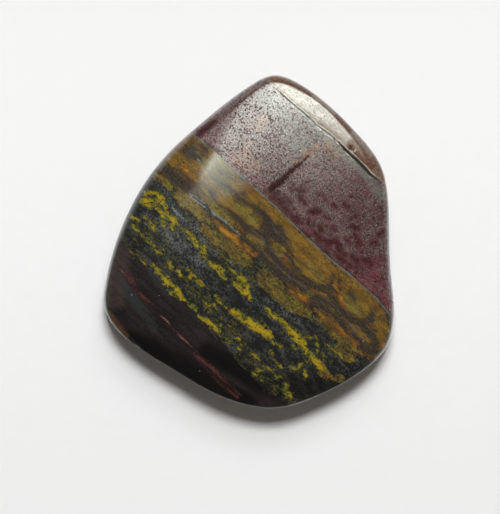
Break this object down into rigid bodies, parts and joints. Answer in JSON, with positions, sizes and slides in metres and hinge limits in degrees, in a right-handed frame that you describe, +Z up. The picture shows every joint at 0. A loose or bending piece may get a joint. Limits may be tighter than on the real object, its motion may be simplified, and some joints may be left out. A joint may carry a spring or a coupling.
{
  "type": "mugglestone",
  "caption": "Small polished freeform stone with diagonal bands of mauve jasper, ochre and yellow-flecked dark ironstone, lying on a small flat spot.",
  "frame": {"origin": "under the centre of the outline, at the height of the flat spot the stone rests on", "axes": "+X to the right and +Y to the pointed end as seen from above, +Z up out of the domed polished face"},
  "size_m": [0.0154, 0.0178, 0.0043],
  "materials": {
    "stone": "polished, banded mauve, ochre, yellow-flecked green-black and maroon"
  },
  "bodies": {
    "root": {"stone": "stone"}
  },
  "joints": []
}
